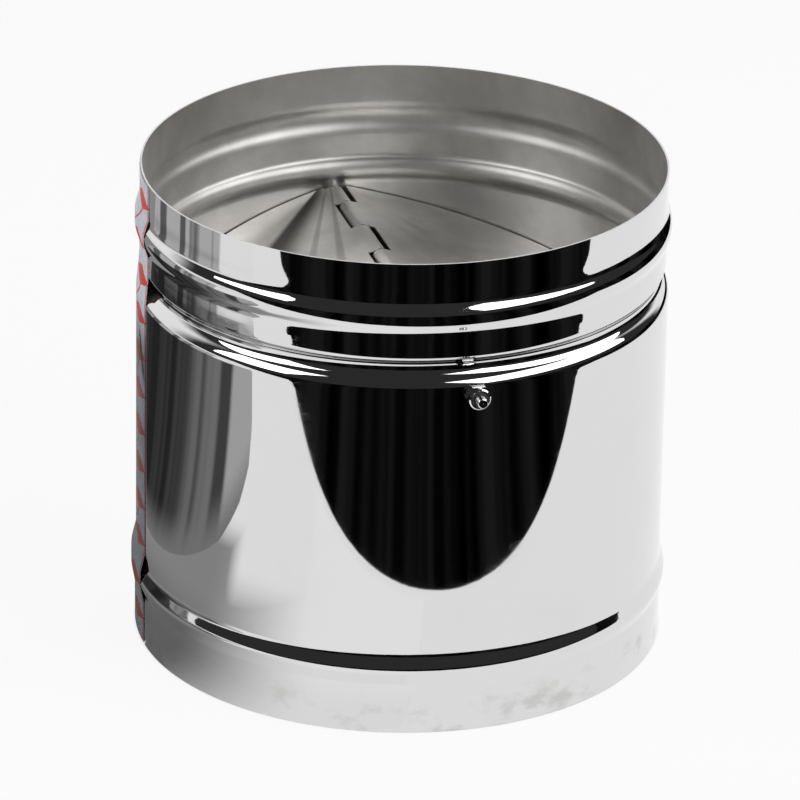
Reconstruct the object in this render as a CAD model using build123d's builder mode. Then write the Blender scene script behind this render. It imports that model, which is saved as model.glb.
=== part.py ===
from build123d import *
import os
from math import asin, atan, atan2, cos, degrees, hypot, radians, sin, sqrt, tan

os.makedirs("parts", exist_ok=True)

# Round duct damper, standing on its lower rim with the axis of the duct on Z.
# The hinge rod lies along Y. All lengths are in millimetres.

# Sheet metal tube, from the upper rim down to the lower one
tube_height = 141.6
tube_wall = 0.5
body_radius = 75.3
spigot_step = 0.9
socket_step = 0.3

# Rolled beads that stand out of the wall, each with a flat crest between two sloping flanks
bead_height = 1.35
upper_bead_below_rim = 16.2
upper_bead_half_width = 5.4
upper_bead_half_crest = 1.5
lower_bead_middle = 20.6
lower_bead_half_width = 7.5
lower_bead_half_crest = 2.2

# Groove rolled into the wall: its inside is the round ring above the blades
groove_below_rim = 31.8
groove_depth = 1.9
groove_half_crest = 1.2
groove_upper_flank = 3.4
groove_lower_flank = 4.1

# Hinge rod with a shoulder behind each threaded end
rod_below_rim = 39.0
rod_radius = 1.8
rod_thread_radius = 1.5
rod_hole_clearance = 0.05
rod_end_past_nut = 3.0
rod_end_chamfer = 0.35

# Lock nuts with a plastic ring
nut_across_flats = 6.2
nut_hex_height = 2.6
nut_collar_radius = 3.1
nut_collar_height = 1.4
nut_chamfer = 0.35
insert_radius = 2.65
insert_height = 0.9
insert_recess = 0.5

# Blades
blade_sheet = 0.4
blade_rest_tilt = 14.5
blade_wall_clearance = 0.5
knuckle_clearance = 0.08
knuckle_gap = 0.6
knuckle_pitch = 18.4
knuckle_end_clearance = 1.8
knuckle_curl = 285.0
notch_clearance = 0.8

# Torsion spring in the middle of the rod: its close turns are ridges round a sleeve
spring_space = 12.0
spring_wire = 0.8
spring_coil_clearance = 0.3
spring_turns = 5
spring_valley = 0.3
spring_leg = 26.0
spring_leg_gap = 0.03

# Strip of protective film left on one side of the tube
film_thickness = 0.12
film_lift = 0.05
film_first_angle = 181.2
film_width = 36.0
film_end_margin = 0.6
film_span = 0.4

# Sizes that follow from the ones above
spigot_radius = body_radius - spigot_step
socket_radius = body_radius + socket_step
tube_bore = body_radius - tube_wall
upper_bead_middle = tube_height - upper_bead_below_rim
groove_middle = tube_height - groove_below_rim
rod_height = tube_height - rod_below_rim
knuckle_row_half = tube_bore - knuckle_end_clearance
knuckle_inside = rod_radius + knuckle_clearance
knuckle_outside = knuckle_inside + blade_sheet
notch_depth = knuckle_outside + notch_clearance
rod_shoulder = sqrt(tube_bore ** 2 - rod_radius ** 2)
nut_height = nut_hex_height + nut_collar_height
rod_half = body_radius + nut_height + rod_end_past_nut
coil_radius = rod_radius + spring_coil_clearance + spring_wire / 2
coil_length = spring_wire * spring_turns


def flank(height, width):
    """Slope in degrees and length of a bead's flank."""
    return degrees(atan(height / width)), hypot(height, width)


def bead_moves(rise, fall, half_width, half_crest):
    """Corners and runs of a bead, which may come back to another radius than it left."""
    up_slope, up_length = flank(rise, half_width - half_crest)
    down_slope, down_length = flank(fall, half_width - half_crest)
    return [
        ("corner", up_slope),
        ("run", up_length),
        ("corner", -up_slope),
        ("run", 2 * half_crest),
        ("corner", -down_slope),
        ("run", down_length),
        ("corner", down_slope),
    ]


upper_bead_top = upper_bead_middle + upper_bead_half_width
upper_bead_end = upper_bead_middle - upper_bead_half_width
lower_bead_top = lower_bead_middle + lower_bead_half_width
lower_bead_end = lower_bead_middle - lower_bead_half_width
groove_top = groove_middle + groove_half_crest + groove_upper_flank
groove_end = groove_middle - groove_half_crest - groove_lower_flank
groove_in_slope, groove_in_length = flank(groove_depth, groove_upper_flank)
groove_out_slope, groove_out_length = flank(groove_depth + spigot_step, groove_lower_flank)
socket_fall = bead_height - socket_step

# The outside of the tube from the upper rim down, where a positive turn leads outwards
tube_moves = [
    ("run", tube_height - upper_bead_top),
    *bead_moves(bead_height, bead_height, upper_bead_half_width, upper_bead_half_crest),
    ("run", upper_bead_end - groove_top),
    ("corner", -groove_in_slope),
    ("run", groove_in_length),
    ("corner", groove_in_slope),
    ("run", 2 * groove_half_crest),
    ("corner", groove_out_slope),
    ("run", groove_out_length),
    ("corner", -groove_out_slope),
    ("run", groove_end - lower_bead_top),
    *bead_moves(bead_height, socket_fall, lower_bead_half_width, lower_bead_half_crest),
    ("run", lower_bead_end),
]

# The back of the film lies on the crests and spans the hollows beside them
step_slope, step_length = flank(spigot_step, groove_top - groove_end)
film_moves = [
    ("run", tube_height - film_end_margin - upper_bead_top - film_span),
    *bead_moves(bead_height, bead_height, upper_bead_half_width + film_span, upper_bead_half_crest),
    ("run", upper_bead_end - film_span - groove_top),
    ("corner", step_slope),
    ("run", step_length),
    ("corner", -step_slope),
    ("run", groove_end - lower_bead_top - film_span),
    *bead_moves(bead_height, socket_fall, lower_bead_half_width + film_span, lower_bead_half_crest),
    ("run", lower_bead_end - film_span - film_end_margin),
]


def draw_sheet_side(moves, start, outwards):
    """Draw one side of a sheet, a given distance outwards of the listed runs and corners."""
    place = Vector(start[0] + outwards, start[1])
    heading = -90.0
    padded = [None, *moves, None]
    for before, move, after in zip(padded, moves, padded[2:]):
        if move[0] == "corner":
            heading += move[1]
        else:
            way = Vector(cos(radians(heading)), sin(radians(heading)))
            corners = [radians(near[1]) for near in (before, after) if near]
            length = move[1] - sum(outwards * tan(turn / 2) for turn in corners)
            place = Line(place, place + way * length) @ 1
    return place


with BuildPart() as tube_shell:
    with BuildSketch(Plane.XZ):
        with BuildLine():
            upper_rim = (spigot_radius, tube_height)
            outer_end = draw_sheet_side(tube_moves, upper_rim, 0.0)
            inner_end = draw_sheet_side(tube_moves, upper_rim, -tube_wall)
            Line(outer_end, inner_end)
            Line(upper_rim, (spigot_radius - tube_wall, tube_height))
        make_face()
    revolve(axis=Axis.Z)
    with BuildSketch(Plane.XZ):
        with Locations((0, rod_height)):
            Circle(rod_thread_radius + rod_hole_clearance)
    extrude(amount=body_radius + 5, both=True, mode=Mode.SUBTRACT)

with BuildPart() as hinge_rod:
    with BuildSketch(Plane.XZ):
        with Locations((0, rod_height)):
            Circle(rod_thread_radius)
    extrude(amount=rod_half, both=True)
    chamfer(hinge_rod.faces().filter_by(Axis.Y).edges(), length=rod_end_chamfer)
    with BuildSketch(Plane.XZ):
        with Locations((0, rod_height)):
            Circle(rod_radius)
    extrude(amount=rod_shoulder, both=True)


def nut_plane(side):
    """Plane on the outside of the tube, looking out along the rod."""
    return Plane(origin=(0, side * body_radius, rod_height), x_dir=(-side, 0, 0), z_dir=(0, side, 0))


def make_lock_nut(side):
    """Hexagon with a round collar, bored for the rod and for its plastic ring."""
    seat = nut_plane(side)
    with BuildPart() as nut:
        with BuildSketch(seat):
            RegularPolygon(nut_across_flats / 2, 6, major_radius=False)
        extrude(amount=nut_hex_height)
        with BuildSketch(seat.offset(nut_hex_height)):
            Circle(nut_collar_radius)
        extrude(amount=nut_collar_height)
        outer_face = nut.faces().sort_by(Axis.Y)[-1 if side > 0 else 0]
        chamfer(outer_face.edges(), length=nut_chamfer)
        with BuildSketch(seat):
            Circle(rod_thread_radius)
        extrude(amount=nut_height, mode=Mode.SUBTRACT)
        with BuildSketch(seat.offset(nut_height - insert_recess - insert_height)):
            Circle(insert_radius)
        extrude(amount=insert_height + insert_recess, mode=Mode.SUBTRACT)
    return nut


def make_insert(side):
    """Plastic ring that grips the thread."""
    with BuildPart() as ring:
        with BuildSketch(nut_plane(side).offset(nut_height - insert_recess - insert_height)):
            Circle(insert_radius)
            Circle(rod_thread_radius, mode=Mode.SUBTRACT)
        extrude(amount=insert_height)
    return ring


lock_nut_front = make_lock_nut(-1)
lock_nut_rear = make_lock_nut(1)
nut_insert_front = make_insert(-1)
nut_insert_rear = make_insert(1)

# Knuckles along the rod from the rear wall, taken in turn by the two blades
rear_spans = []
upper_edge = knuckle_row_half
for count in (3, 2, 1, 0):
    lower_edge = spring_space / 2 + knuckle_pitch * count
    rear_spans.append((lower_edge, upper_edge))
    upper_edge = lower_edge
front_spans = [(-high, -low) for low, high in reversed(rear_spans)]
knuckle_spans = rear_spans + front_spans


def make_blade(side):
    """Half-round blade: side 1 lies towards +X and side -1 towards -X."""
    tilt = radians(blade_rest_tilt)
    along = (side * cos(tilt), 0, -sin(tilt))
    normal = (side * sin(tilt), 0, cos(tilt))
    sheet = Plane(origin=(0, 0, rod_height), x_dir=along, z_dir=normal)
    own = [span for place, span in enumerate(knuckle_spans) if (place % 2 == 1) == (side == 1)]
    other = [span for span in knuckle_spans if span not in own]
    reach = (tube_bore - blade_wall_clearance) / cos(tilt)
    middle = -knuckle_outside * tan(tilt)
    with BuildPart() as blade:
        with BuildSketch(sheet.offset(knuckle_inside)):
            with Locations((middle, 0)):
                Ellipse(reach, tube_bore - blade_wall_clearance)
            with Locations((reach, 0)):
                Rectangle(2 * reach, 2 * tube_bore, mode=Mode.INTERSECT)
            for low, high in other + [(-spring_space / 2, spring_space / 2)]:
                with Locations((0, side * (low + high) / 2)):
                    Rectangle(2 * notch_depth, high - low, mode=Mode.SUBTRACT)
            for end in (1, -1):
                with Locations((0, end * (knuckle_row_half + 5))):
                    Rectangle(2 * notch_depth, 10, mode=Mode.SUBTRACT)
        extrude(amount=blade_sheet)
        for low, high in own:
            first, last = low + knuckle_gap / 2, high - knuckle_gap / 2
            end_plane = Plane(origin=(0, first, rod_height), x_dir=along, z_dir=(0, -side, 0))
            with BuildSketch(end_plane):
                Circle(knuckle_outside)
                Circle(knuckle_inside, mode=Mode.SUBTRACT)
                with BuildLine():
                    far = 2 * knuckle_outside
                    lip = radians(knuckle_curl + 90 - 360)
                    Polyline((0, 0), (0, far), (far, far), (far * cos(lip), far * sin(lip)), (0, 0))
                make_face(mode=Mode.SUBTRACT)
                with Locations((notch_depth / 2, (knuckle_inside + knuckle_outside) / 2)):
                    Rectangle(notch_depth, blade_sheet)
            extrude(amount=-side * (last - first))
    return blade


blade_right = make_blade(1)
blade_left = make_blade(-1)

# The legs leave the coil below the rod and press on the blades from underneath
leg_target = knuckle_inside - spring_wire / 2 - spring_leg_gap
leg_rise = degrees(asin(leg_target / spring_leg) + atan2(coil_radius, spring_leg))
leg_drop = radians(blade_rest_tilt - leg_rise)
valley_radius = coil_radius + spring_wire / 2 - spring_valley
with BuildPart() as torsion_spring:
    with BuildSketch(Plane.XY.offset(rod_height)):
        with BuildLine():
            first_edge = -coil_length / 2
            ridges = [(valley_radius, first_edge)]
            for turn in range(spring_turns):
                ridges.append((coil_radius + spring_wire / 2, first_edge + (turn + 0.5) * spring_wire))
                ridges.append((valley_radius, first_edge + (turn + 1) * spring_wire))
            inside = coil_radius - spring_wire / 2
            Polyline((inside, first_edge), *ridges, (inside, -first_edge), close=True)
        make_face()
    revolve(axis=Axis((0, 0, rod_height), (0, 1, 0)))
    for side in (1, -1):
        leg_way = (side * cos(leg_drop), 0, -sin(leg_drop))
        leg_start = (-side * coil_radius * sin(leg_drop), -side * (coil_length - spring_wire) / 2,
                     rod_height - coil_radius * cos(leg_drop))
        with BuildSketch(Plane(origin=leg_start, z_dir=leg_way)):
            Circle(spring_wire / 2)
        extrude(amount=spring_leg)

film_sweep = degrees(film_width / body_radius)
with BuildPart() as film_strip:
    film_edge = radians(film_first_angle)
    film_plane = Plane(origin=(0, 0, 0), x_dir=(cos(film_edge), sin(film_edge), 0),
                       z_dir=(sin(film_edge), -cos(film_edge), 0))
    with BuildSketch(film_plane):
        with BuildLine():
            film_top = (spigot_radius, tube_height - film_end_margin)
            back_end = draw_sheet_side(film_moves, film_top, film_lift)
            face_end = draw_sheet_side(film_moves, film_top, film_lift + film_thickness)
            Line(back_end, face_end)
            film_back = spigot_radius + film_lift
            Line((film_back, film_top[1]), (film_back + film_thickness, film_top[1]))
        make_face()
    revolve(axis=Axis.Z, revolution_arc=-film_sweep)

tube_shell.part.label = "tube_shell"
export_step(tube_shell.part, "parts/tube_shell.step")
hinge_rod.part.label = "hinge_rod"
export_step(hinge_rod.part, "parts/hinge_rod.step")
lock_nut_front.part.label = "lock_nut_front"
export_step(lock_nut_front.part, "parts/lock_nut_front.step")
lock_nut_rear.part.label = "lock_nut_rear"
export_step(lock_nut_rear.part, "parts/lock_nut_rear.step")
nut_insert_front.part.label = "nut_insert_front"
export_step(nut_insert_front.part, "parts/nut_insert_front.step")
nut_insert_rear.part.label = "nut_insert_rear"
export_step(nut_insert_rear.part, "parts/nut_insert_rear.step")
blade_right.part.label = "blade_right"
export_step(blade_right.part, "parts/blade_right.step")
blade_left.part.label = "blade_left"
export_step(blade_left.part, "parts/blade_left.step")
torsion_spring.part.label = "torsion_spring"
export_step(torsion_spring.part, "parts/torsion_spring.step")
film_strip.part.label = "film_strip"
export_step(film_strip.part, "parts/film_strip.step")
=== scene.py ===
# %% [markdown]
# # A round duct damper
# The damper is a short tube of polished sheet steel with two half-round blades on a cross rod inside.
# The frame comes first: it holds every piece at its real place, in metres, with the duct's axis on Z.
# All looks are built around it, so nothing here moves or resizes a piece.

# %% Load the frame
from math import acos, ceil, cos, degrees, exp, pi, radians, sin, tan, tau

import bpy
from mathutils import Matrix, Vector


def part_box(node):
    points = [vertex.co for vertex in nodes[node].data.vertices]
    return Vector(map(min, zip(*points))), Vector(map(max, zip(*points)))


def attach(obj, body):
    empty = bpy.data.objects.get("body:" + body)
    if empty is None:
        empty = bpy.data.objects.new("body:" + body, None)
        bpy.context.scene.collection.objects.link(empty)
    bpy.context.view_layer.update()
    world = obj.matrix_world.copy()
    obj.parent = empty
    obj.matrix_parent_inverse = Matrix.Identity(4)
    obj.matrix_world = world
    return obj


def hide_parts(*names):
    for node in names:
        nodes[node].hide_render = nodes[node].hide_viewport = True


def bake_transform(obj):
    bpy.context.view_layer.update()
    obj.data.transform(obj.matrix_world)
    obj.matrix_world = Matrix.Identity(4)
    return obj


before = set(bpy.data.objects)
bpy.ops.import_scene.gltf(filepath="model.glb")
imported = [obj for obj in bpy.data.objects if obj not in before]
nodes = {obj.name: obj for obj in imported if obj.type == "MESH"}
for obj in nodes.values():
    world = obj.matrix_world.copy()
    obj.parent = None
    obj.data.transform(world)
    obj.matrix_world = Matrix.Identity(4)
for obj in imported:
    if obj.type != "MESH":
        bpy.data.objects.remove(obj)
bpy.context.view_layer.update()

MM = 0.001
print("nodes in the frame:", sorted(nodes))

# %% [markdown]
# ## The camera
# A product shot like this is taken from some way off with a long lens, so that the upright sides stay
# nearly parallel. The camera looks down on the rim by about a quarter of a right angle, turned a little
# to the left of the rod's front end, and it is rolled by about a degree as a hand-held shot would be.

# %% Place the camera
CAMERA_PLACE = Vector((-0.49505, -1.72809, 0.87363))
CAMERA_HEADING = radians(-15.98)
CAMERA_PITCH_DOWN = radians(24.14)
CAMERA_ROLL = radians(1.03)
CAMERA_LENS = 310.47
SENSOR_WIDTH = 36
TOWARDS_CAMERA = Vector((sin(CAMERA_HEADING), -cos(CAMERA_HEADING), 0))
CAMERA_RIGHT = Vector((cos(CAMERA_HEADING), sin(CAMERA_HEADING), 0))


def place_camera():
    lens = bpy.data.cameras.new("shop_camera")
    lens.lens = CAMERA_LENS
    lens.sensor_width = SENSOR_WIDTH
    lens.clip_end = 50
    camera = bpy.data.objects.new("shop_camera", lens)
    turn = Matrix.Rotation(CAMERA_HEADING, 4, "Z") @ Matrix.Rotation(pi / 2 - CAMERA_PITCH_DOWN, 4, "X")
    camera.matrix_world = Matrix.Translation(CAMERA_PLACE) @ turn @ Matrix.Rotation(CAMERA_ROLL, 4, "Z")
    bpy.context.scene.collection.objects.link(camera)
    bpy.context.scene.camera = camera
    print("camera stands", round(CAMERA_PLACE.length, 3), "m from the foot of the damper")


place_camera()

# %% [markdown]
# ## Small tools for materials
# Every finish below is a node tree. These helpers add a node, link two sockets, and start a material with
# one Principled BSDF, so that each finish reads as a short list of what it does. A second set reads the
# place of a point on its piece, and makes noise and bump from it.

# %% Material helpers


def add_node(tree, kind, **inputs):
    node = tree.nodes.new(kind)
    for name, value in inputs.items():
        node.inputs[name.replace("_", " ")].default_value = value
    return node


def link(tree, start, end):
    tree.links.new(start, end)


def start_finish(name):
    material = bpy.data.materials.new(name)
    material.use_nodes = True
    tree = material.node_tree
    return material, tree, tree.nodes["Principled BSDF"]


def maths(tree, operation, first, second=0.0):
    node = tree.nodes.new("ShaderNodeMath")
    node.operation = operation
    for socket, value in zip(node.inputs, (first, second)):
        if isinstance(value, (int, float)):
            socket.default_value = value
        else:
            link(tree, value, socket)
    return node.outputs[0]


def distance(tree, value, middle):
    return maths(tree, "ABSOLUTE", maths(tree, "SUBTRACT", value, middle))


def weighted_sum(tree, *parts):
    """Add up sockets, each times its own share."""
    total = 0.0
    for socket, share in parts:
        total = maths(tree, "ADD", total, maths(tree, "MULTIPLY", socket, share))
    return total


def mix_colours(tree, share, first, second):
    node = tree.nodes.new("ShaderNodeMix")
    node.data_type = "RGBA"
    for socket, value in ((node.inputs[0], share), (node.inputs[6], first), (node.inputs[7], second)):
        if hasattr(value, "is_output"):
            link(tree, value, socket)
        else:
            socket.default_value = value if isinstance(value, (int, float)) else (*value, 1)
    return node.outputs[2]


def ramp(tree, value, low, high, to_low=0.0, to_high=1.0):
    node = tree.nodes.new("ShaderNodeMapRange")
    node.interpolation_type = "SMOOTHSTEP"
    node.inputs["From Min"].default_value = low
    node.inputs["From Max"].default_value = high
    node.inputs["To Min"].default_value = to_low
    node.inputs["To Max"].default_value = to_high
    link(tree, value, node.inputs["Value"])
    return node.outputs[0]


def grey(value):
    return (value, value, value)


def warm(value):
    return (value, value * 0.985, value * 0.96)


# %% Texture helpers


def object_place(tree):
    return tree.nodes.new("ShaderNodeTexCoord").outputs["Object"]


def split_axes(tree, place):
    node = tree.nodes.new("ShaderNodeSeparateXYZ")
    link(tree, place, node.inputs[0])
    return node.outputs


def stretched(tree, place, scale):
    node = tree.nodes.new("ShaderNodeMapping")
    node.inputs["Scale"].default_value = scale
    link(tree, place, node.inputs["Vector"])
    return node.outputs[0]


def noise(tree, place, size, detail=2.0, rough=0.5):
    node = add_node(tree, "ShaderNodeTexNoise", Scale=1 / size, Detail=detail, Roughness=rough)
    link(tree, place, node.inputs["Vector"])
    return node.outputs[0]


def bump(tree, height, depth):
    node = add_node(tree, "ShaderNodeBump", Strength=1.0, Distance=depth)
    link(tree, height, node.inputs["Height"])
    return node.outputs[0]


# %% [markdown]
# ## Effects that several finishes share
# Sheet steel is never quite flat, and handling leaves hair scratches and faint smears on it. Each effect is
# a node group with a few named inputs, so that the mirror outside, the satin inside and the blades can all
# use it with their own strength.

# %% Shared effects as node groups
SCRATCH_TILTS_AND_SIZES = ((0.5, 2.2 * MM), (-0.9, 3.0 * MM), (1.25, 2.6 * MM))
SCRATCH_STRETCH = (0.06, 1.0, 1.0)
SCRATCH_LINE = 0.006
SCRATCH_PATCH = 30 * MM
SMEAR_SIZE = 35 * MM
SPECK_SIZE = 1.6 * MM
RIPPLE_SIZE = 22 * MM
FINE_RIPPLE_SIZE = 6 * MM
CHATTER_SIZE = 1.2 * MM


def start_group(name, inputs, outputs):
    group = bpy.data.node_groups.new(name, "ShaderNodeTree")
    for socket, value in inputs.items():
        kind = "NodeSocketVector" if socket == "Place" else "NodeSocketFloat"
        made = group.interface.new_socket(socket, in_out="INPUT", socket_type=kind)
        if kind == "NodeSocketFloat":
            made.default_value = value
    for socket in outputs:
        group.interface.new_socket(socket, in_out="OUTPUT", socket_type="NodeSocketFloat")
    return group, group.nodes.new("NodeGroupInput"), group.nodes.new("NodeGroupOutput")


def use_group(tree, group, place, **values):
    node = tree.nodes.new("ShaderNodeGroup")
    node.node_tree = group
    link(tree, place, node.inputs["Place"])
    for name, value in values.items():
        node.inputs[name].default_value = value
    return node.outputs[0]


def make_hair_scratches():
    group, given, result = start_group("hair_scratches", {"Place": None, "Amount": 0.5}, ["Mask"])
    lines = []
    for count, (tilt, size) in enumerate(SCRATCH_TILTS_AND_SIZES):
        turned = group.nodes.new("ShaderNodeMapping")
        turned.inputs["Rotation"].default_value = (tilt, 0.3 * count, tilt * 0.4)
        turned.inputs["Scale"].default_value = SCRATCH_STRETCH
        link(group, given.outputs["Place"], turned.inputs["Vector"])
        field = noise(group, turned.outputs[0], size, detail=0.0)
        lines.append(ramp(group, distance(group, field, 0.5), 0.0, SCRATCH_LINE, 1.0, 0.0))
    joined = maths(group, "MAXIMUM", maths(group, "MAXIMUM", lines[0], lines[1]), lines[2])
    patches = ramp(group, noise(group, given.outputs["Place"], SCRATCH_PATCH, detail=3.0), 0.56, 0.7)
    mask = maths(group, "MULTIPLY", maths(group, "MULTIPLY", joined, patches), given.outputs["Amount"])
    link(group, mask, result.inputs["Mask"])
    return group


def make_smears():
    group, given, result = start_group("smears", {"Place": None, "Amount": 0.5}, ["Mask"])
    broad = ramp(group, noise(group, given.outputs["Place"], SMEAR_SIZE, detail=4.0, rough=0.6), 0.5, 0.78)
    specks = ramp(group, noise(group, given.outputs["Place"], SPECK_SIZE, detail=1.0), 0.74, 0.8)
    both = weighted_sum(group, (broad, 1.0), (specks, 0.6))
    link(group, maths(group, "MULTIPLY", both, given.outputs["Amount"]), result.inputs["Mask"])
    return group


def make_sheet_ripple():
    group, given, result = start_group("sheet_ripple", {"Place": None}, ["Height"])
    place = given.outputs["Place"]
    broad = noise(group, stretched(group, place, (1, 1, 0.35)), RIPPLE_SIZE, detail=1.0)
    fine = noise(group, place, FINE_RIPPLE_SIZE, detail=2.0)
    chatter = noise(group, place, CHATTER_SIZE, detail=2.0)
    link(group, weighted_sum(group, (broad, 1.0), (fine, 0.18), (chatter, 0.022)), result.inputs["Height"])
    return group


hair_scratches = make_hair_scratches()
smears = make_smears()
sheet_ripple = make_sheet_ripple()
print("shared effects:", [group.name for group in (hair_scratches, smears, sheet_ripple)])

# %% [markdown]
# ## Finish: mirror-polished sheet
# The outside of the tube is polished like a mirror, so nearly all of its look is what it reflects. The
# finish stays almost perfectly smooth; scratches and smears only raise the roughness where they are. The
# rolling of the beads leaves the sheet slightly rippled there, which makes reflected edges run wavy.

# %% Finish: mirror outside
TUBE_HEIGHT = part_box("tube_shell")[1].z
UPPER_BEAD_MIDDLE = 125.4 * MM
GROOVE_MIDDLE = 110.0 * MM
LOWER_BEAD_MIDDLE = 20.6 * MM
ROLLED_ZONES = ((UPPER_BEAD_MIDDLE, 9 * MM), (GROOVE_MIDDLE, 8 * MM), (LOWER_BEAD_MIDDLE, 11 * MM))
SMUDGED_BELOW = 6 * MM
CLEAN_ABOVE = 14 * MM
SMUDGE_SIZE = 13 * MM
MIRROR_ROUGHNESS = 0.028
RIPPLE_MEAN = 0.6
PLAIN_RIPPLE = 0.12
RIPPLE_DEPTH = 0.12 * MM


def near_height(tree, height, middle, reach):
    return ramp(tree, distance(tree, height, middle), reach * 0.5, reach, 1.0, 0.0)


def rolled_zones(tree, height):
    """One where the sheet was rolled into a bead or the groove, and nothing on the plain wall."""
    rolled = 0.0
    for middle, reach in ROLLED_ZONES:
        rolled = maths(tree, "MAXIMUM", rolled, near_height(tree, height, middle, reach))
    return rolled


def make_mirror_sheet():
    material, tree, shader = start_finish("mirror_sheet")
    place = object_place(tree)
    height = split_axes(tree, place)["Z"]
    scratch = use_group(tree, hair_scratches, place, Amount=0.5)
    smear = use_group(tree, smears, place, Amount=0.6)
    low_collar = ramp(tree, height, CLEAN_ABOVE, SMUDGED_BELOW)
    smudge = noise(tree, stretched(tree, place, (1, 1, 1.6)), SMUDGE_SIZE, detail=4.0, rough=0.62)
    smudge = maths(tree, "MULTIPLY", low_collar, ramp(tree, smudge, 0.5, 0.72))
    low_smear = maths(tree, "MULTIPLY", low_collar, smear)
    dull = weighted_sum(tree, (smear, 0.05), (scratch, 0.22), (low_smear, 0.16), (smudge, 0.14))
    link(tree, maths(tree, "ADD", dull, MIRROR_ROUGHNESS), shader.inputs["Roughness"])
    polish = mix_colours(tree, maths(tree, "MULTIPLY", smear, 0.25), grey(0.72), grey(0.62))
    polish = mix_colours(tree, maths(tree, "MULTIPLY", smudge, 0.42), polish, warm(0.4))
    link(tree, polish, shader.inputs["Base Color"])
    shader.inputs["Metallic"].default_value = 1.0
    ripple = maths(tree, "SUBTRACT", use_group(tree, sheet_ripple, place), RIPPLE_MEAN)
    amount = maths(tree, "ADD", rolled_zones(tree, height), PLAIN_RIPPLE)
    link(tree, bump(tree, maths(tree, "MULTIPLY", ripple, amount), RIPPLE_DEPTH), shader.inputs["Normal"])
    return material


mirror_sheet = make_mirror_sheet()
print("finish ready:", mirror_sheet.name)

# %% [markdown]
# ## Finish: dull satin sheet
# The inside of the tube and the blades keep the mill's dull finish. A finely mottled roughness with a very
# shallow grain gives soft, broad highlights instead of clear reflections. Rolling the knuckles left shallow
# folds on the blades, which spread like a fan from the rear end of the rod. On the left blade, a dark band
# along the outermost fold and fainter streaks on the folds are painted into the colour. They are a painted
# reflection of the dark rear wall and knuckles. Both follow the angle round that corner.

# %% Finish: satin inside and blades
GRAIN_SIZE = 0.4 * MM
GRAIN_DEPTH = 0.006 * MM
CLOUD_SIZE = 21 * MM
FAN_CORNER = 81 * MM
FAN_STEP = radians(9)
FAN_FADE = radians(40), radians(28)
PAINTED_REFLECTION_OUTER_SIDE = radians(41), radians(37)
PAINTED_REFLECTION_INNER_SIDE = radians(19), radians(35)
PAINTED_STREAKS_BEGIN = radians(4), radians(10)
LEFT_BLADE_ONLY = 4 * MM, -4 * MM


def add_folds_and_painted_reflection(tree, place):
    """Shallow folds that spread from the blade's rear corner, and the mask of the painted dark band and
    streaks, a painted reflection.
    """
    moved = tree.nodes.new("ShaderNodeVectorMath")
    moved.operation = "SUBTRACT"
    link(tree, place, moved.inputs[0])
    moved.inputs[1].default_value = (0, FAN_CORNER, 0)
    axes = split_axes(tree, moved.outputs[0])
    across = maths(tree, "ABSOLUTE", axes["X"])
    along = maths(tree, "MULTIPLY", axes["Y"], -1.0)
    angle = maths(tree, "ARCTAN2", across, along)
    reach = maths(tree, "SQRT", weighted_sum(tree, (across, across), (along, along)))
    folds = maths(tree, "SINE", maths(tree, "MULTIPLY", angle, tau / FAN_STEP))
    folds = maths(tree, "MULTIPLY", folds, ramp(tree, angle, *FAN_FADE))
    painted_dark_reflection = maths(tree, "MULTIPLY", ramp(tree, angle, *PAINTED_REFLECTION_OUTER_SIDE),
                   ramp(tree, angle, *PAINTED_REFLECTION_INNER_SIDE))
    painted_streaks = maths(tree, "MULTIPLY", ramp(tree, folds, 0.3, 1.0), ramp(tree, angle, *PAINTED_STREAKS_BEGIN))
    painted_dark_reflection = maths(tree, "MAXIMUM", painted_dark_reflection, maths(tree, "MULTIPLY", painted_streaks, 0.35))
    painted_dark_reflection = maths(tree, "MULTIPLY", painted_dark_reflection, ramp(tree, axes["X"], *LEFT_BLADE_ONLY))
    return maths(tree, "MULTIPLY", folds, reach), painted_dark_reflection


def make_satin_sheet(name, tone, roughness, grain_scale, fan=0.0):
    """A dull, clouded sheet; fan is how steep the forming folds are, and nothing leaves them out."""
    material, tree, shader = start_finish(name)
    place = object_place(tree)
    grain = noise(tree, stretched(tree, place, grain_scale), GRAIN_SIZE, detail=3.0)
    cloud = ramp(tree, noise(tree, place, CLOUD_SIZE, detail=4.0, rough=0.6), 0.32, 0.68)
    scratch = use_group(tree, hair_scratches, place, Amount=0.35)
    smear = use_group(tree, smears, place, Amount=0.5)
    shade = weighted_sum(tree, (cloud, 0.6), (smear, 0.3))
    sheet = mix_colours(tree, shade, warm(tone * 1.12), warm(tone * 0.76))
    rough = weighted_sum(tree, (grain, 0.1), (smear, 0.08), (scratch, -0.12))
    link(tree, maths(tree, "ADD", rough, roughness - 0.05), shader.inputs["Roughness"])
    shader.inputs["Metallic"].default_value = 1.0
    relief = maths(tree, "MULTIPLY", grain, GRAIN_DEPTH)
    if fan:
        folds, painted_dark_reflection = add_folds_and_painted_reflection(tree, place)
        relief = maths(tree, "ADD", relief, maths(tree, "MULTIPLY", folds, fan))
        # Painted reflection: a dark band and faint streaks on the left blade stand in for the dark rear wall
        # and knuckles seen in the sheet.
        sheet = mix_colours(tree, maths(tree, "MULTIPLY", painted_dark_reflection, 0.92), sheet, warm(0.05))
    link(tree, sheet, shader.inputs["Base Color"])
    link(tree, bump(tree, relief, 1.0), shader.inputs["Normal"])
    return material


satin_inside = make_satin_sheet("satin_inside", 0.54, 0.44, (1, 1, 6))
satin_blade = make_satin_sheet("satin_blade", 0.88, 0.4, (1, 8, 1), fan=0.0012)
print("finishes ready:", satin_inside.name, satin_blade.name)

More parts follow.
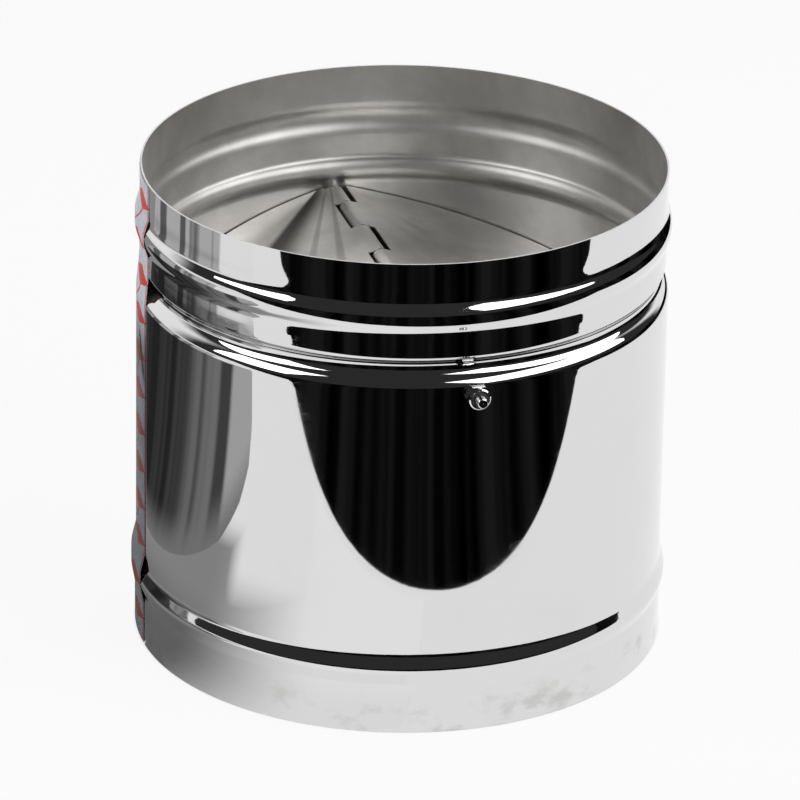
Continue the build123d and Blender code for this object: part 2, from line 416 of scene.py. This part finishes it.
# %% [markdown]
# ## Finish: cut edge, rod, nuts, plastic ring and spring wire
# The sheared rim shows bare bright metal with fine marks across it. The rod and the nuts are bright steel,
# and the rod's ends carry a thread: a wave along the rod, with its phase turned round the axis, raises the
# ridges by bump alone because they are only half a millimetre apart.

# %% Finish: small metal and plastic pieces
ROD_HEIGHT = (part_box("hinge_rod")[0].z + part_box("hinge_rod")[1].z) / 2
THREAD_PITCH = 0.5 * MM
THREAD_START = 74.0 * MM
THREAD_RUN_OUT = 0.5 * MM
THREAD_DEPTH = 0.04 * MM


def make_plain_metal(name, tone, roughness, mottle):
    material, tree, shader = start_finish(name)
    place = object_place(tree)
    cloud = noise(tree, place, mottle, detail=3.0)
    link(tree, mix_colours(tree, cloud, grey(tone * 1.08), grey(tone * 0.84)), shader.inputs["Base Color"])
    link(tree, ramp(tree, cloud, 0.2, 0.8, roughness * 0.8, roughness * 1.25), shader.inputs["Roughness"])
    shader.inputs["Metallic"].default_value = 1.0
    return material, tree, shader, place


def make_threaded_steel():
    material, tree, shader, place = make_plain_metal("threaded_steel", 0.8, 0.14, 6 * MM)
    axes = split_axes(tree, place)
    across = maths(tree, "SUBTRACT", axes["Z"], ROD_HEIGHT)
    angle = maths(tree, "ARCTAN2", across, axes["X"])
    along = maths(tree, "MULTIPLY", axes["Y"], tau / THREAD_PITCH)
    wave = maths(tree, "SINE", maths(tree, "ADD", along, angle))
    from_middle = maths(tree, "ABSOLUTE", axes["Y"])
    ends = ramp(tree, from_middle, THREAD_START, THREAD_START + THREAD_RUN_OUT)
    link(tree, bump(tree, maths(tree, "MULTIPLY", wave, ends), THREAD_DEPTH), shader.inputs["Normal"])
    return material


def make_dark_plastic():
    material, tree, shader = start_finish("dark_plastic")
    cloud = noise(tree, object_place(tree), 1.2 * MM, detail=3.0)
    colour = mix_colours(tree, cloud, (0.035, 0.036, 0.04), (0.07, 0.07, 0.075))
    link(tree, colour, shader.inputs["Base Color"])
    link(tree, ramp(tree, cloud, 0.2, 0.8, 0.35, 0.55), shader.inputs["Roughness"])
    return material


cut_edge = make_plain_metal("cut_edge", 0.72, 0.3, 1.5 * MM)[0]
nut_steel = make_plain_metal("nut_steel", 0.82, 0.09, 6 * MM)[0]
spring_steel = make_plain_metal("spring_steel", 0.5, 0.25, 2 * MM)[0]
threaded_steel = make_threaded_steel()
dark_plastic = make_dark_plastic()
made = (cut_edge, nut_steel, spring_steel, threaded_steel, dark_plastic)
print("finishes ready:", [finish.name for finish in made])

# %% [markdown]
# ## Finish: printed protective film
# A strip of thin whitish film was left on one side when the tube was unpacked. It is printed with simple
# red shapes: a row of lozenges beside a waving line, with a red line along the film's free edge, and there is
# one dark pen stroke. The pattern is laid out round the tube by angle and height, so that it follows the
# curve of the wall. Lower down, the film and its print get painted shade where the film lies in shade, and
# higher up they get a pale, lit colour.

# %% Finish: protective film
FILM_EDGE_ANGLE = radians(181.2)
FILM_EDGE_RADIUS = 75.3 * MM
FILM_STEP = 11.5 * MM
LOZENGE_MIDDLE = 8.5 * MM
LOZENGE_SLIMNESS = 0.33
LOZENGE_EDGE = 3.2 * MM, 2.9 * MM
WAVE_MIDDLE = 14.5 * MM
WAVE_SWING = 6 * MM
WAVE_EDGE = 0.7 * MM, 0.5 * MM
EDGE_LINE_INNER = 1.2 * MM, 1.0 * MM
EDGE_LINE_OUTER = 0.2 * MM, 0.4 * MM
STROKE_MIDDLE = 5.5 * MM
STROKE_EDGE = 1.8 * MM, 1.3 * MM
STROKE_ORIGIN = 91 * MM
STROKE_HEIGHT = 89 * MM
STROKE_REACH = 8.5 * MM
STROKE_SLANT = -0.5
PAINTED_SHADE_BELOW = 88 * MM
PAINTED_LIGHT_ABOVE = 108 * MM
CREASE_DEPTH = 0.2 * MM


def from_film_edge(tree, place):
    """How far a point lies from the film's free edge, measured round the tube."""
    turned = tree.nodes.new("ShaderNodeMapping")
    turned.inputs["Rotation"].default_value = (0, 0, -FILM_EDGE_ANGLE)
    link(tree, place, turned.inputs["Vector"])
    axes = split_axes(tree, turned.outputs[0])
    return maths(tree, "MULTIPLY", maths(tree, "ARCTAN2", axes["Y"], axes["X"]), -FILM_EDGE_RADIUS)


def red_print(tree, inward, height):
    """The mask of the lozenges, the waving line and the line along the edge."""
    row = maths(tree, "PINGPONG", maths(tree, "ADD", height, FILM_STEP * 0.3), FILM_STEP / 2)
    column = maths(tree, "MULTIPLY", distance(tree, inward, LOZENGE_MIDDLE), LOZENGE_SLIMNESS)
    printed = ramp(tree, maths(tree, "ADD", row, column), *LOZENGE_EDGE)
    wave = maths(tree, "SINE", maths(tree, "MULTIPLY", height, tau / (2 * FILM_STEP)))
    wave = maths(tree, "ADD", maths(tree, "MULTIPLY", wave, WAVE_SWING), WAVE_MIDDLE)
    printed = maths(tree, "MAXIMUM", printed, ramp(tree, distance(tree, inward, wave), *WAVE_EDGE))
    edge_line = maths(tree, "MULTIPLY", ramp(tree, inward, *EDGE_LINE_INNER),
                      ramp(tree, inward, *EDGE_LINE_OUTER))
    return maths(tree, "MAXIMUM", printed, edge_line)


def pen_stroke(tree, inward, height):
    lean = maths(tree, "MULTIPLY", maths(tree, "SUBTRACT", height, STROKE_ORIGIN), STROKE_SLANT)
    away = distance(tree, maths(tree, "ADD", inward, lean), STROKE_MIDDLE)
    return maths(tree, "MULTIPLY", ramp(tree, away, *STROKE_EDGE),
                 near_height(tree, height, STROKE_HEIGHT, STROKE_REACH))


def make_printed_film():
    material, tree, shader = start_finish("printed_film")
    place = object_place(tree)
    height = split_axes(tree, place)["Z"]
    inward = from_film_edge(tree, place)
    cloud = noise(tree, place, 12 * MM, detail=3.0)
    # Painted shade: lower down, the film and its red ink take dark colours, and higher up pale ones, because
    # the lower film lies in shade.
    painted_light_share = ramp(tree, height, PAINTED_SHADE_BELOW, PAINTED_LIGHT_ABOVE)
    film = mix_colours(tree, cloud, (0.76, 0.8, 0.86), (0.62, 0.66, 0.73))
    clear = mix_colours(tree, cloud, (0.24, 0.26, 0.285), (0.15, 0.165, 0.185))
    film = mix_colours(tree, painted_light_share, clear, film)
    ink = mix_colours(tree, painted_light_share, (0.24, 0.02, 0.016), (0.78, 0.03, 0.018))
    film = mix_colours(tree, red_print(tree, inward, height), film, ink)
    film = mix_colours(tree, pen_stroke(tree, inward, height), film, grey(0.012))
    link(tree, film, shader.inputs["Base Color"])
    link(tree, ramp(tree, cloud, 0.3, 0.7, 0.22, 0.34), shader.inputs["Roughness"])
    shader.inputs["Specular IOR Level"].default_value = 0.15
    crease = noise(tree, stretched(tree, place, (1, 1, 0.3)), 9 * MM, detail=2.0)
    link(tree, bump(tree, crease, CREASE_DEPTH), shader.inputs["Normal"])
    return material


printed_film = make_printed_film()
print("finish ready:", printed_film.name)

# %% [markdown]
# ## The tube
# The tube is one sheet, rolled round, with two beads pressed outwards and a groove pressed inwards. By hand
# one would draw half of its section as a line, spin the line round the axis, and then give the surface the
# thickness of the sheet. A mirror shows every flat facet, so the bends are drawn in small steps and the
# spin has many. Solidify then adds the inner wall with the satin finish and the rims with the cut edge.

# %% Bends and straight runs of a section
BEND_STEP = 3.0
RUN_STEP = 0.5 * MM
RUN_CLOSE = 8 * MM


def bend_points(points, turn, radius):
    """Go round a bend from the last point, whose heading is kept beside it; a left turn leads outwards."""
    place, heading = points[-1]
    steps = max(2, ceil(abs(turn) / BEND_STEP))
    for _ in range(steps):
        half = radians(turn / steps) / 2
        chord = 2 * radius * sin(abs(half))
        heading += half
        place = (place[0] + chord * cos(heading), place[1] + chord * sin(heading))
        heading += half
        points.append((place, heading))


def rolled_bead(points, rise, fall, half_width, foot, lower_foot, steepest):
    """A bead: foot bend, straight flank, crest bend, straight flank and foot bend."""
    slope = radians(steepest)
    flank = rise / tan(slope / 2) - half_width
    crest = (half_width - flank * cos(slope)) / sin(slope) - foot
    lower_flank = (fall - (crest + lower_foot) * (1 - cos(slope))) / sin(slope)
    bend_points(points, steepest, foot)
    run_on(points, flank)
    bend_points(points, -2 * steepest, crest)
    run_on(points, lower_flank)
    bend_points(points, steepest, lower_foot)


def rolled_groove(points, depth, step_out, bends, foot, lower_foot):
    """The groove, which comes out again to a wider radius than it went in."""
    inner = bends - foot
    into = acos(1 - depth / bends)
    out = acos(1 - (depth + step_out) / (inner + lower_foot))
    bend_points(points, -degrees(into), foot)
    bend_points(points, degrees(into + out), inner)
    bend_points(points, -degrees(out), lower_foot)


def run_on(points, length):
    """A short straight run along the last heading."""
    place, heading = points[-1]
    points.append(((place[0] + length * cos(heading), place[1] + length * sin(heading)), heading))


def run_down_to(points, height):
    """A straight run, with close points near its ends and none between."""
    (radius, start), heading = points[-1]
    drop = start - height
    for count in range(1, ceil(drop / RUN_STEP)):
        if min(RUN_STEP * count, drop - RUN_STEP * count) < RUN_CLOSE:
            points.append(((radius, start - RUN_STEP * count), heading))
    points.append(((radius, height), heading))


# %% Draw the section of the tube
SPIGOT_RADIUS = 74.4 * MM
BODY_RADIUS = 75.3 * MM
SOCKET_RADIUS = 75.6 * MM
BEAD_HEIGHT = 1.35 * MM
UPPER_BEAD_HALF = 5.4 * MM
UPPER_BEAD_FOOT = 5.0 * MM
UPPER_BEAD_SLOPE = 26
LOWER_CREST = 19.0 * MM
LOWER_BEAD_HALF = 5.8 * MM
LOWER_BEAD_FOOT = 6.5 * MM
LOWER_BEAD_LAST_FOOT = 1.8 * MM
LOWER_BEAD_SLOPE = 19
GROOVE_DEPTH = 1.9 * MM
GROOVE_BENDS = 5.8 * MM
GROOVE_FOOT = 2.6 * MM
GROOVE_LAST_FOOT = 4.0 * MM
GROOVE_ENTRY = GROOVE_MIDDLE + GROOVE_BENDS * sin(acos(1 - GROOVE_DEPTH / GROOVE_BENDS))
DRAW_DEPTH = 0.07 * MM
DRAW_REACH = 3.2 * MM
COLLAR_FOOT = UPPER_BEAD_MIDDLE + 6.0 * MM


def drawn_in(height):
    """How far rolling the upper bead pulls the plain collar inwards above it."""
    return DRAW_DEPTH * exp(-(((height - COLLAR_FOOT) / DRAW_REACH) ** 2))


def tube_section():
    """Half of the tube's section from the top rim down, each point a radius and a height."""
    points = [((SPIGOT_RADIUS, TUBE_HEIGHT), -pi / 2)]
    run_down_to(points, UPPER_BEAD_MIDDLE + UPPER_BEAD_HALF)
    rolled_bead(points, BEAD_HEIGHT, BEAD_HEIGHT, UPPER_BEAD_HALF, UPPER_BEAD_FOOT, UPPER_BEAD_FOOT,
                UPPER_BEAD_SLOPE)
    run_down_to(points, GROOVE_ENTRY)
    rolled_groove(points, GROOVE_DEPTH, BODY_RADIUS - SPIGOT_RADIUS, GROOVE_BENDS, GROOVE_FOOT,
                  GROOVE_LAST_FOOT)
    run_down_to(points, LOWER_CREST + LOWER_BEAD_HALF)
    socket_fall = BEAD_HEIGHT - (SOCKET_RADIUS - BODY_RADIUS)
    rolled_bead(points, BEAD_HEIGHT, socket_fall, LOWER_BEAD_HALF, LOWER_BEAD_FOOT, LOWER_BEAD_LAST_FOOT,
                LOWER_BEAD_SLOPE)
    run_down_to(points, 0.0)
    return [(radius - drawn_in(height), height) for (radius, height), heading in points]


section = tube_section()
print("section points:", len(section), "last radius mm:", round(section[-1][0] / MM, 3))

# %% Spin the section and thicken it
WALL = 0.5 * MM
SPIN_STEPS = 192
MERGE_REACH = 0.01 * MM
SMOOTH_ANGLE = radians(40)


def begin_piece():
    if bpy.context.object and bpy.context.object.mode != "OBJECT":
        bpy.ops.object.mode_set(mode="OBJECT")
    bpy.ops.object.select_all(action="DESELECT")


def spin_section(name, section):
    begin_piece()
    bpy.ops.mesh.primitive_plane_add(size=MM, location=(0, 0, 0))
    piece = bpy.context.object
    piece.name = name
    bpy.ops.object.mode_set(mode="EDIT")
    bpy.ops.mesh.select_all(action="SELECT")
    bpy.ops.mesh.merge(type="CENTER")
    first = section[0]
    bpy.ops.transform.translate(value=(first[0], 0, first[1]))
    for before, after in zip(section, section[1:]):
        step = (after[0] - before[0], 0, after[1] - before[1])
        bpy.ops.mesh.extrude_region_move(TRANSFORM_OT_translate={"value": step})
    bpy.ops.mesh.select_all(action="SELECT")
    bpy.ops.mesh.spin(steps=SPIN_STEPS, angle=tau, center=(0, 0, 0), axis=(0, 0, 1))
    bpy.ops.mesh.select_all(action="SELECT")
    bpy.ops.mesh.remove_doubles(threshold=MERGE_REACH)
    bpy.ops.mesh.normals_make_consistent(inside=False)
    bpy.ops.object.mode_set(mode="OBJECT")
    return piece


def face_outwards(piece):
    """Turn the sheet over if its faces look at the axis."""
    face = max(piece.data.polygons, key=lambda one: one.area)
    if face.normal.x * face.center.x + face.normal.y * face.center.y < 0:
        piece.data.flip_normals()


def make_tube():
    tube = spin_section("tube_sheet", section)
    face_outwards(tube)
    for finish in (mirror_sheet, satin_inside, cut_edge):
        tube.data.materials.append(finish)
    wall = tube.modifiers.new("wall", "SOLIDIFY")
    wall.thickness = WALL
    wall.offset = -1
    wall.use_even_offset = True
    wall.material_offset = 1
    wall.material_offset_rim = 2
    bpy.ops.object.modifier_apply(modifier="wall")
    bpy.ops.object.shade_smooth_by_angle(angle=SMOOTH_ANGLE)
    print("tube faces:", len(tube.data.polygons))
    return tube


tube = make_tube()
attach(tube, "housing")
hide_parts("tube_shell")

# %% [markdown]
# ## Blades, rod, nuts and film
# These pieces have their true shape in the frame already, so they keep it and only get their finish.

# %% Give the frame's own pieces their finish


def dress(node, finish):
    slots = nodes[node].data.materials
    slots.clear()
    slots.append(finish)


for node, finish in {
    "blade_left": satin_blade,
    "blade_right": satin_blade,
    "hinge_rod": threaded_steel,
    "lock_nut_front": nut_steel,
    "lock_nut_rear": nut_steel,
    "nut_insert_front": dark_plastic,
    "nut_insert_rear": dark_plastic,
    "film_strip": printed_film,
}.items():
    dress(node, finish)
    print("dressed", node, "with", finish.name)

# %% [markdown]
# ## The torsion spring
# The spring is one wire: a close coil round the rod with a leg under each blade. When a blade swings, its
# leg goes with it and the coil winds up. Each half of the spring is therefore made as a piece of its own.

# %% Wind the spring
WIRE_RADIUS = 0.4 * MM
COIL_RADIUS = 2.5 * MM
COIL_PITCH = 0.8 * MM
LEG_LENGTH = 22.8 * MM
BLADE_TILT = 14.5
LEG_RISE = 10.16
LEG_DROP = radians(BLADE_TILT - LEG_RISE)
HALF_TURNS = 2 + LEG_DROP / tau
TURN_STEPS = 24
RING_POINTS = 12
RING_SHARE = 0.97


def wind_half_spring(name):
    """Screw a ring of wire along Z and draw out the leg. The ring is a little thin, so turns stay apart."""
    begin_piece()
    bpy.ops.mesh.primitive_circle_add(vertices=RING_POINTS, radius=WIRE_RADIUS * RING_SHARE,
                                      location=(COIL_RADIUS, 0, 0), rotation=(pi / 2, 0, 0))
    half = bpy.context.object
    half.name = name
    bpy.ops.object.transform_apply(location=True, rotation=True, scale=True)
    coil = half.modifiers.new("coil", "SCREW")
    coil.axis = "Z"
    coil.angle = tau * HALF_TURNS
    coil.screw_offset = COIL_PITCH * HALF_TURNS
    coil.steps = round(TURN_STEPS * HALF_TURNS)
    coil.render_steps = coil.steps
    coil.use_merge_vertices = False
    bpy.ops.object.modifier_apply(modifier="coil")
    end_angle = tau * HALF_TURNS
    end = Vector((COIL_RADIUS * cos(end_angle), COIL_RADIUS * sin(end_angle), COIL_PITCH * HALF_TURNS))
    way = Vector((-sin(end_angle), cos(end_angle), 0))
    bpy.ops.object.mode_set(mode="EDIT")
    bpy.ops.mesh.select_all(action="DESELECT")
    bpy.ops.object.mode_set(mode="OBJECT")
    for vertex in half.data.vertices:
        away = vertex.co - end
        vertex.select = away.length < WIRE_RADIUS * 1.05 and abs(away.dot(way)) < 1e-6
    bpy.ops.object.mode_set(mode="EDIT")
    bpy.ops.mesh.select_mode(type="VERT")
    bpy.ops.mesh.extrude_region_move(TRANSFORM_OT_translate={"value": way * LEG_LENGTH})
    bpy.ops.mesh.edge_face_add()
    bpy.ops.mesh.select_all(action="SELECT")
    bpy.ops.mesh.normals_make_consistent(inside=False)
    bpy.ops.object.mode_set(mode="OBJECT")
    bpy.ops.object.shade_smooth_by_angle(angle=SMOOTH_ANGLE)
    half.data.materials.append(spring_steel)
    print(name, "faces:", len(half.data.polygons))
    return half, way


def lay_on_rod(half, way, side):
    """Turn the coil's axis onto the rod and its leg under the blade on the given side (1 is +X)."""
    leg = Vector((side * cos(LEG_DROP), 0, -sin(LEG_DROP)))
    axis = Vector((0, -side, 0))
    outward = leg.cross(axis)
    target = Matrix((leg, axis, outward)).transposed()
    start_axis = Vector((0, 0, 1))
    source = Matrix((way, start_axis, way.cross(start_axis))).transposed()
    turn = (target @ source.inverted()).to_4x4()
    half.data.transform(Matrix.Translation((0, 0, ROD_HEIGHT)) @ turn)
    half.data.update()
    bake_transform(half)


for side, name in ((1, "spring_half_right"), (-1, "spring_half_left")):
    half, way = wind_half_spring(name)
    lay_on_rod(half, way, side)
    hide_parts("torsion_spring")

# %% [markdown]
# ## Floor and cards
# A mirror shows its surroundings. The damper stands on a pale table whose front edge is close, and the room
# beyond it is dark. A dark card lies beyond that edge and another beyond the table's right edge. The table's
# left side is shaded, and furniture there shows as upright grey stripes. All cards show only in the polish.
# Their tones are laid out by the angle round the damper and the reach from its axis, as the polish sees them.

# %% Finish: pale floor
FLOOR_GLOW = 0.9
GLOW_BEGINS = 74 * MM, 76.5 * MM


def reach_from_axis(tree):
    reach = tree.nodes.new("ShaderNodeVectorMath")
    reach.operation = "LENGTH"
    link(tree, object_place(tree), reach.inputs[0])
    return reach.outputs["Value"]


def make_pale_floor():
    """The floor stays pale for the camera and in the polish, and still takes the damper's shadow."""
    material, tree, shader = start_finish("pale_floor")
    shader.inputs["Base Color"].default_value = (*grey(0.9), 1)
    shader.inputs["Roughness"].default_value = 0.9
    shader.inputs["Specular IOR Level"].default_value = 0.0
    glow = add_node(tree, "ShaderNodeEmission", Color=(1, 1, 1, 1), Strength=1.0)
    rays = tree.nodes.new("ShaderNodeLightPath")
    seen = maths(tree, "MAXIMUM", rays.outputs["Is Camera Ray"], rays.outputs["Is Glossy Ray"])
    seen = maths(tree, "MAXIMUM", seen, rays.outputs["Is Transmission Ray"])
    seen = maths(tree, "MULTIPLY", seen, ramp(tree, reach_from_axis(tree), *GLOW_BEGINS))
    blend = tree.nodes.new("ShaderNodeMixShader")
    link(tree, maths(tree, "MULTIPLY", seen, FLOOR_GLOW), blend.inputs[0])
    link(tree, shader.outputs[0], blend.inputs[1])
    link(tree, glow.outputs[0], blend.inputs[2])
    link(tree, blend.outputs[0], tree.nodes["Material Output"].inputs["Surface"])
    return material


pale_floor = make_pale_floor()
print("finish ready:", pale_floor.name)

# %% Finish: dark, striped and shaded cards
SIDE_FADE = radians(38), radians(0)
SIDE_PALE_END = radians(-4.5), radians(-7)
SIDE_FAR_LINES = 300 * MM, 360 * MM
SIDE_FAR_WHITE = 300 * MM, 350 * MM
SIDE_WHITE_END = radians(7), radians(4)
SIDE_EDGE_TURN = radians(37.4)
SIDE_NEAR_EDGE = 155 * MM, 118 * MM
SHADE_FADE = radians(-54), radians(-6)
SHADE_REACH = 85 * MM, 130 * MM
CLEAR_REACH = 100 * MM, 160 * MM
CLEAR_FRONT = radians(-9), radians(-19)
FAR_CLEAR_REACH = 150 * MM, 190 * MM
FAR_CLEAR_FRONT = radians(0), radians(-6)
CLEAR_BACK = radians(62), radians(92)


def start_card(name):
    """A sheet that shows its own tone whatever the lamps do, laid out by angle and reach from the damper."""
    material, tree, shader = start_finish(name)
    shader.inputs["Base Color"].default_value = (*grey(0), 1)
    shader.inputs["Emission Strength"].default_value = 1.0
    shader.inputs["Specular IOR Level"].default_value = 0.0
    axes = split_axes(tree, object_place(tree))
    angle = maths(tree, "ARCTAN2", axes["Y"], maths(tree, "MULTIPLY", axes["X"], -1.0))
    return material, tree, shader, angle, reach_from_axis(tree)


def show_tone(tree, shader, tone):
    link(tree, mix_colours(tree, tone, grey(0), grey(1)), shader.inputs["Emission Color"])


def upright_stripes(tree, angle, stripes, detail):
    field = add_node(tree, "ShaderNodeTexNoise", Scale=stripes, Detail=detail, Roughness=0.55)
    field.noise_dimensions = "1D"
    link(tree, angle, field.inputs["W"])
    return ramp(tree, field.outputs[0], 0.36, 0.66)


def make_dark_front():
    material, tree, shader, angle, reach = start_card("dark_front")
    show_tone(tree, shader, maths(tree, "MULTIPLY", upright_stripes(tree, angle, 5.0, 2.0), 0.012))
    return material


def make_striped_side():
    """Furniture on the left: darkest at the back, with pale upright lines further out."""
    material, tree, shader, angle, reach = start_card("striped_side")
    stripes = upright_stripes(tree, angle, 7.0, 1.2)
    soft = maths(tree, "ADD", maths(tree, "MULTIPLY", stripes, 0.7), 0.3)
    tone = maths(tree, "MULTIPLY", soft, ramp(tree, angle, *SIDE_FADE, 0.045, 0.2))
    tone = maths(tree, "MAXIMUM", tone, ramp(tree, angle, *SIDE_PALE_END, 0.02, 0.44))
    lines = ramp(tree, stripes, 0.05, 0.45, 0.12, 0.5)
    far = maths(tree, "MULTIPLY", ramp(tree, reach, *SIDE_FAR_LINES), lines)
    tone = maths(tree, "MAXIMUM", tone, far)
    white = maths(tree, "MULTIPLY", ramp(tree, reach, *SIDE_FAR_WHITE), ramp(tree, angle, *SIDE_WHITE_END))
    tone = maths(tree, "MAXIMUM", tone, maths(tree, "MULTIPLY", white, 0.95))
    # Near its inner edge the card fades to a grey that paints the table's shade, as the shade card does.
    edge = maths(tree, "COSINE", maths(tree, "SUBTRACT", angle, SIDE_EDGE_TURN))
    near = ramp(tree, maths(tree, "MULTIPLY", edge, reach), *SIDE_NEAR_EDGE)
    tone = maths(tree, "MULTIPLY", tone, maths(tree, "SUBTRACT", 1.0, near))
    show_tone(tree, shader, maths(tree, "ADD", tone, maths(tree, "MULTIPLY", near, 0.21)))
    return material


def make_shaded_table():
    """The table's shaded side on the left, which grows pale again towards the front and further out."""
    material, tree, shader, angle, reach = start_card("shaded_table")
    tone = ramp(tree, angle, *SHADE_FADE, 0.93, 0.15)
    tone = maths(tree, "ADD", tone, ramp(tree, reach, *SHADE_REACH, 0.0, 0.14))
    clear = maths(tree, "MULTIPLY", ramp(tree, reach, *CLEAR_REACH), ramp(tree, angle, *CLEAR_FRONT))
    far = maths(tree, "MULTIPLY", ramp(tree, reach, *FAR_CLEAR_REACH), ramp(tree, angle, *FAR_CLEAR_FRONT))
    clear = maths(tree, "MAXIMUM", maths(tree, "MAXIMUM", clear, far), ramp(tree, angle, *CLEAR_BACK))
    show_tone(tree, shader, maths(tree, "MAXIMUM", tone, maths(tree, "MULTIPLY", clear, 0.97)))
    return material


dark_front = make_dark_front()
striped_side = make_striped_side()
shaded_table = make_shaded_table()
print("card finishes ready:", dark_front.name, striped_side.name, shaded_table.name)

# %% Lay the floor and the cards
FAR = 6
TABLE_EDGE = -165 * MM
TABLE_RIGHT = 390 * MM
DARK_CARD_HEIGHT = 0.3 * MM
SIDE_CARD_HEIGHT = 0.2 * MM
SHADE_CARD_HEIGHT = 0.1 * MM
FLOOR_CORNERS = [(-FAR, -FAR), (FAR, -FAR), (FAR, FAR), (-FAR, FAR)]
FRONT_CORNERS = [(-FAR, -FAR), (FAR, -FAR), (FAR, TABLE_EDGE), (-FAR, TABLE_EDGE)]
RIGHT_CORNERS = [(TABLE_RIGHT, TABLE_EDGE), (FAR, TABLE_EDGE), (FAR, FAR), (TABLE_RIGHT, FAR)]
SIDE_CORNERS = [(-0.9, -0.08), (-0.3, -0.078), (-0.25, -0.073), (-0.22, -0.064), (-0.195, -0.048),
                (-0.165, -0.02), (-0.1, 0.075), (-0.15, 0.24), (-0.6, 0.6)]
SHADE_CORNERS = [(-0.3, -0.16), (-0.02, -0.16), (-0.02, -0.0765), (-0.0541, -0.0541), (-0.0765, 0),
                 (-0.0541, 0.0541), (0, 0.0765), (0, 0.9), (-0.9, 0.9), (-0.9, -0.07)]


def lay_sheet(name, corners, height, finish):
    mesh = bpy.data.meshes.new(name)
    mesh.from_pydata([(x, y, height) for x, y in corners], [], [list(range(len(corners)))])
    mesh.materials.append(finish)
    sheet = bpy.data.objects.new(name, mesh)
    bpy.context.scene.collection.objects.link(sheet)
    return sheet


def show_only_in_polish(card):
    card.visible_camera = False
    card.visible_diffuse = False
    card.visible_shadow = False


floor = lay_sheet("floor", FLOOR_CORNERS, 0.0, pale_floor)
front_card = lay_sheet("front_card", FRONT_CORNERS, DARK_CARD_HEIGHT, dark_front)
right_card = lay_sheet("right_card", RIGHT_CORNERS, DARK_CARD_HEIGHT, dark_front)
side_card = lay_sheet("side_card", SIDE_CORNERS, SIDE_CARD_HEIGHT, striped_side)
shade_card = lay_sheet("shade_card", SHADE_CORNERS, SHADE_CARD_HEIGHT, shaded_table)
for card in (front_card, right_card, side_card, shade_card):
    show_only_in_polish(card)
print("stage sheets:", floor.name, front_card.name, right_card.name, side_card.name, shade_card.name)

# %% [markdown]
# ## Lamps and room
# Two soft lamp panels, one on each side, give the bright bands on the upper sides of the beads. The room is
# dark but for a pale wall behind the table, which lights the inside and shows white behind the damper.

# %% Lamps and room
LAMP_DISTANCE = 1.2
LAMP_ELEVATION = radians(38)
LAMP_HEIGHT = 0.74
LAMP_GLOW = 2.8
WALL_BEGINS = -0.1, -0.45
WALL_TOP = 0.9, 0.6
WALL_RIGHT_END = 0.75, 0.6
ROOM_TONE = 0.03


def hang_softbox(name, turn, half_spread):
    """A lamp panel on one side, its turn counted from the camera's side to the right."""
    level = TOWARDS_CAMERA * cos(radians(turn)) + CAMERA_RIGHT * sin(radians(turn))
    way = level * cos(LAMP_ELEVATION) + Vector((0, 0, sin(LAMP_ELEVATION)))
    lamp = bpy.data.lights.new(name, "AREA")
    lamp.shape = "RECTANGLE"
    lamp.size = 2 * LAMP_DISTANCE * cos(LAMP_ELEVATION) * tan(radians(half_spread))
    lamp.size_y = LAMP_HEIGHT
    lamp.energy = pi * lamp.size * lamp.size_y * LAMP_GLOW
    panel = bpy.data.objects.new(name, lamp)
    panel.location = way * LAMP_DISTANCE
    panel.rotation_euler = way.to_track_quat("Z", "Y").to_euler()
    bpy.context.scene.collection.objects.link(panel)
    print(name, "power", round(lamp.energy, 2), "W, width", round(lamp.size, 2), "m")


def light_room():
    world = bpy.data.worlds.new("studio")
    bpy.context.scene.world = world
    world.use_nodes = True
    tree = world.node_tree
    axes = split_axes(tree, tree.nodes.new("ShaderNodeTexCoord").outputs["Generated"])
    front = weighted_sum(tree, (axes["X"], TOWARDS_CAMERA.x), (axes["Y"], TOWARDS_CAMERA.y))
    right = weighted_sum(tree, (axes["X"], CAMERA_RIGHT.x), (axes["Y"], CAMERA_RIGHT.y))
    pale_wall = maths(tree, "MULTIPLY", ramp(tree, front, *WALL_BEGINS), ramp(tree, axes["Z"], *WALL_TOP))
    pale_wall = maths(tree, "MULTIPLY", pale_wall, ramp(tree, right, *WALL_RIGHT_END))
    seen = tree.nodes.new("ShaderNodeLightPath").outputs["Is Camera Ray"]
    pale_wall = maths(tree, "MAXIMUM", pale_wall, seen)
    room = mix_colours(tree, pale_wall, grey(ROOM_TONE), grey(1.0))
    link(tree, room, tree.nodes["Background"].inputs["Color"])
    print("room ready:", world.name)


hang_softbox("left_softbox", -66, 22)
hang_softbox("right_softbox", 70, 42)
light_room()
bpy.context.scene.view_settings.view_transform = "Standard"
